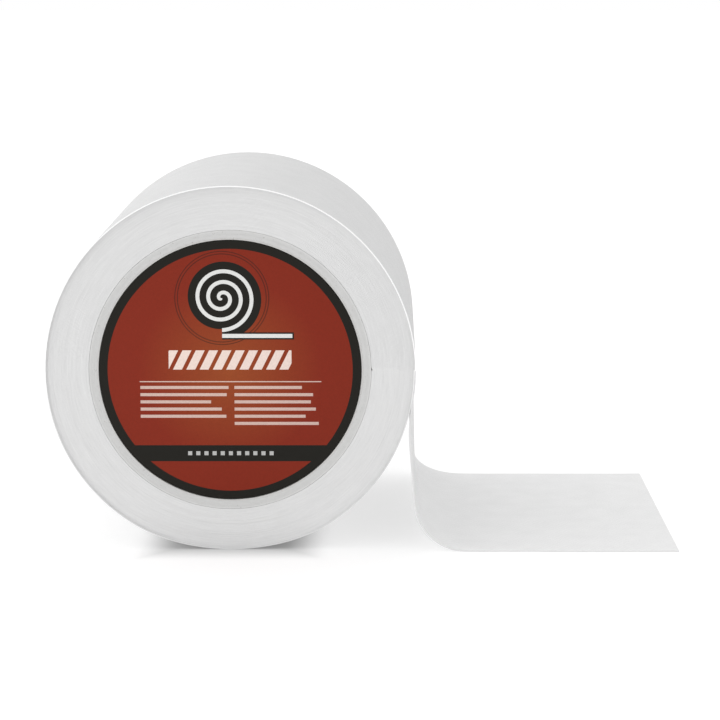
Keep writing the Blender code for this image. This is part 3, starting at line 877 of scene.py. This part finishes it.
def make_core():
    """Seven plies: a liner, five body plies and a face ply. The body plies stand for the core's wall."""
    liner_paper = paper_material("liner_paper", (srgb("B7B6B4"), srgb("C9C8C6")), srgb("93918B"))
    body_paper = paper_material("body_board", (srgb("BEBEBD"), srgb("CDCDCC")), srgb("9E9C99"))
    face_paper = paper_material("face_paper", (srgb("C2C2C1"), srgb("D3D3D2")), srgb("A6A4A0"))
    plies = [("liner_ply", liner_paper, "core_paper", "core_liner_ply")]
    plies += [(f"body_ply_{k}", body_paper, "core_board", "core_wall") for k in range(1, PLY_COUNT - 1)]
    plies += [("face_ply", face_paper, "core_paper", "core_face_ply")]
    for k, (name, paper, slot, node) in enumerate(plies):
        set_back = PLY_SET_BACK * ((k * PLY_SHUFFLE) % PLY_COUNT)
        sizes = {
            "Steps": PLY_STEPS,
            "Rows": PLY_ROWS,
            "Inner Radius": BORE_RADIUS + k * PLY_PITCH,
            "Outer Radius": BORE_RADIUS + (k + 1) * PLY_PITCH - PLY_GLUE,
            "Front": FRONT + set_back,
            "Back": BACK - set_back,
            "Axis Height": AXIS_HEIGHT,
            "Seam": PLY_SEAM,
            "Lead": PLY_LEAD,
            "Start": k * PLY_STAGGER,
        }
        ply = new_holder(name)
        run_tree(ply, ply_tree(sizes, paper), sizes)
        make_plain(ply, spent=["round"])
        shade(ply)
        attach(ply, "roll")
        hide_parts(node)


def make_plug():
    """A cup of pressed card. Its skirt is fluted where the press folded it, and its rim thins a little."""
    card_tones = srgb("B7B2A8"), srgb("CBC7BE")
    card = grained_material("pressed_card", card_tones, roughness=0.88, grain_size=CARD_GRAIN)
    arc = [RIGHT_ANGLE * i / FILLET_STEPS for i in range(FILLET_STEPS + 1)]
    outer, inner = PLUG_RADIUS - PLUG_FILLET, PLUG_RADIUS - PLUG_WALL
    inside = PLUG_FILLET - PLUG_WALL / 2
    floor = PLUG_FRONT + PLUG_WALL
    profile = [(0, PLUG_FRONT)]
    for a in arc:
        profile.append((outer + PLUG_FILLET * math.sin(a), PLUG_FRONT + PLUG_FILLET * (1 - math.cos(a))))
    profile += [(PLUG_RADIUS, PLUG_BACK - PLUG_WALL / 2), (PLUG_RADIUS - PLUG_WALL / 2, PLUG_BACK)]
    profile += [(inner, PLUG_BACK - PLUG_WALL / 2)]
    profile += [(inner - inside * (1 - math.sin(a)), floor + inside * (1 - math.cos(a))) for a in arc[::-1]]
    profile += [(0, floor)]
    cup = turned("plug_cup", profile, PLUG_FLUTES * FLUTE_STEPS)
    sizes = {
        "Flutes": PLUG_FLUTES,
        "Depth": PLUG_FLUTE_DEPTH,
        "Face": PLUG_FRONT + PLUG_FILLET,
        "Rim": PLUG_BACK,
    }
    run_tree(cup, flute_tree(sizes, card), sizes)
    make_plain(cup, AXIS)
    shade(cup)
    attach(cup, "plug")
    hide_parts("core_plug")


def make_label():
    """The printed disc on the plug's face, with its front edge a little rounded."""
    rim = PLUG_RADIUS - DISC_ROUNDING
    profile = [(0, FRONT), (rim, FRONT), (PLUG_RADIUS, FRONT + DISC_ROUNDING), (PLUG_RADIUS, LABEL_BACK)]
    disc = turned("printed_disc", [*profile, (0, LABEL_BACK)], DISC_STEPS)
    make_plain(disc, AXIS)
    disc.data.materials.append(label_material())
    shade(disc)
    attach(disc, "plug")
    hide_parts("label_disc")


def make_tape():
    """The strip of tape under the web's inner end."""
    tape_tones = srgb("CFC49C"), srgb("DDD3AE")
    adhesive = grained_material("double_sided_tape", tape_tones, roughness=0.6, grain_size=TAPE_GRAIN)
    radius = CORE_RADIUS + TAPE_GLUE
    points, faces = [], []
    for k in range(TAPE_STEPS + 1):
        angle = TAPE_WIDTH / radius * k / TAPE_STEPS
        for r in (radius, radius + TAPE_THICKNESS):
            for y in (-TAPE_LENGTH / 2, TAPE_LENGTH / 2):
                points.append((r * math.cos(angle), y, AXIS_HEIGHT + r * math.sin(angle)))
    for k in range(TAPE_STEPS):
        here, after = 4 * k, 4 * k + 4
        for i, j in ((0, 1), (1, 3), (3, 2), (2, 0)):
            faces.append((here + i, after + i, after + j, here + j))
    end = 4 * TAPE_STEPS
    faces += [(0, 1, 3, 2), (end, end + 2, end + 3, end + 1)]
    tape = new_holder("tape_strip", points, (), faces)
    tape.data.materials.append(adhesive)
    shade(tape)
    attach(tape, "roll")
    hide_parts("start_tape")


def make_web():
    """The web, in three pieces that run on into each other: its free end, what hangs, and what is wound."""
    rows, alongs, peel_along, seam = tail_rows()
    wound_tones = srgb("C4C4C4"), srgb("E5E5E5")
    # Painted light: the single layer's tones are paler than the wound web's, for the light coming through it.
    painted_lit_single_tones = srgb("D9D9D9"), srgb("F8F8F8")
    edge_tones = srgb("D0D0D0"), srgb("E1E1E1")
    finishes = (
        geotextile_material(wound_tones, painted_lit_single_tones, peel_along),
        cut_edge_material("knife_cut_polyester", edge_tones),
        # The outer turn's edges: the cut edge, with a painted highlight towards the top.
        cut_edge_material("rubbed_polyester_rim", edge_tones, srgb("F8F8F8")),
    )
    lower = web_piece("web_free_end", rows[:seam + 1], alongs[:seam + 1], finishes, peel_along)
    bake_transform(lower)
    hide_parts("tail_flat", "tail_drop")
    upper = web_piece("web_hanging", rows[seam:], alongs[seam:], finishes, peel_along)
    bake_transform(upper)
    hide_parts("tail_drop")

    sizes = {
        "Points": TURNS * WIND_STEPS - OVERLAP_STEPS + 1,
        "Steps": WIND_STEPS,
        "Turns": TURNS,
        "First Turn": OVERLAP_STEPS / WIND_STEPS,
        "First Along": alongs[-1],
        "Inner Radius": INNER_RADIUS,
        "Pitch": LAYER_PITCH,
        "Core Radius": CORE_RADIUS,
        "Bottom Radius": BOTTOM_RADIUS,
        "Pressed Share": PRESSED_SHARE,
        "Pressed From": -math.cos(PRESSED_REACH),
        "Step Share": STEP_SHARE,
        "Steeper Share": STEEPER_SHARE,
        "Fade Turns": STEP_FADE_TURNS,
        "Peel Stray": STRAY_AT_PEEL,
        "Stray Turns": STRAY_TURNS,
        "Layer Stray": LAYER_STRAY,
        "Rim Turns": RIM_TURNS,
        "Width": WEB_WIDTH,
        "Thickness": WEB_THICKNESS,
        "Bulge": EDGE_BULGE,
        "Axis Height": AXIS_HEIGHT,
    }
    wound = new_holder("web_on_roll")
    run_tree(wound, winding_tree(sizes, *finishes), sizes)
    make_plain(wound, spent=PATH_VALUES)
    shade(wound)
    reaches = [corner.uv.y for corner in wound.data.uv_layers["web"].data]
    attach(wound, "roll")
    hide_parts("wound_web")


def make_stage():
    """A white floor that glows, as acrylic lit from below does, but hardly where the roll bears on it: there
    its glow is dimmed into a painted contact shadow.
    """
    bpy.ops.mesh.primitive_plane_add(size=FLOOR_WIDTH, location=(0, 0, -FLOOR_DROP))
    floor = bpy.context.object
    floor.name = "floor"
    material, add = new_material("lit_acrylic")
    x, y, _ = add(SPLIT, add("ShaderNodeTexCoord", out="Object"), out=slice(3))
    # Painted contact shadow: the glow dims near the roll's line of contact and near its ends.
    off_line = add(MATH, x, operation="ABSOLUTE")
    past_end = add(MATH, add(MATH, y, operation="ABSOLUTE"), BACK, operation="SUBTRACT")
    beside = add(RANGE, off_line, *PAINTED_SHADOW_ACROSS, PAINTED_SHADOW_GLOW, FLOOR_GLOW, interpolation_type="SMOOTHSTEP")
    shadowed_glow_past_end = add(RANGE, past_end, *PAINTED_SHADOW_PAST_END, PAINTED_SHADOW_GLOW, FLOOR_GLOW, interpolation_type="SMOOTHSTEP")
    glow = add(MATH, beside, shadowed_glow_past_end, operation="MAXIMUM")
    white = (1, 1, 1, 1)
    paint = srgb("B1B1B1")
    surface = add(PRINCIPLED, paint, Roughness=0.9, Emission_Color=white, Emission_Strength=glow)
    add("ShaderNodeOutputMaterial", surface)
    floor.data.materials.append(material)


def make_light():
    """An even white surround, which the camera sees as pure white, and large softboxes."""
    world = bpy.data.worlds.new("studio")
    bpy.context.scene.world = world
    world.use_nodes = True
    world.node_tree.nodes.clear()
    add = node_adder(world.node_tree)
    white = (1, 1, 1, 1)
    # Light Path's first output is Is Camera Ray, and its fourth is Is Glossy Ray.
    camera_ray, glossy_ray = add("ShaderNodeLightPath", out=slice(0, 4, 3))
    seen = add(MATH, camera_ray, glossy_ray, operation="MAXIMUM")
    rightward = add(SPLIT, add("ShaderNodeTexCoord", out="Generated"))
    strength = add(MATH, rightward, -AMBIENT * AMBIENT_SIDE_SHARE, AMBIENT, operation="MULTIPLY_ADD")
    surround = add("ShaderNodeBackground", white, strength)
    shown = add("ShaderNodeMixShader", seen, surround, add("ShaderNodeBackground", white, 1))
    add("ShaderNodeOutputWorld", shown)
    for name, size, power, place in SOFTBOXES:
        light = bpy.data.lights.new(name, "AREA")
        light.shape = "DISK"
        light.size = size
        light.energy = power
        lamp = bpy.data.objects.new(name, light)
        lamp.location = place
        lamp.rotation_euler = (AXIS - lamp.location).to_track_quat("-Z", "Y").to_euler()
        bpy.context.scene.collection.objects.link(lamp)


def make_camera():
    """The photograph's view, with the lens shifted a little to the side, as the fit found it."""
    lens = bpy.data.cameras.new("camera")
    lens.sensor_width = SENSOR
    lens.lens = FOCAL_PIXELS / IMAGE_SIZE * SENSOR
    lens.shift_x = (IMAGE_SIZE / 2 - PRINCIPAL_X) / IMAGE_SIZE
    lens.clip_end = CAMERA_REACH
    camera = bpy.data.objects.new("camera", lens)
    camera.location = CAMERA_PLACE
    camera.rotation_euler = (RIGHT_ANGLE - CAMERA_PITCH, 0, 0)
    bpy.context.scene.collection.objects.link(camera)
    bpy.context.scene.camera = camera
    bpy.context.scene.view_settings.view_transform = "Standard"


make_camera()
make_light()
make_stage()
make_core()
make_plug()
make_label()
make_tape()
make_web()
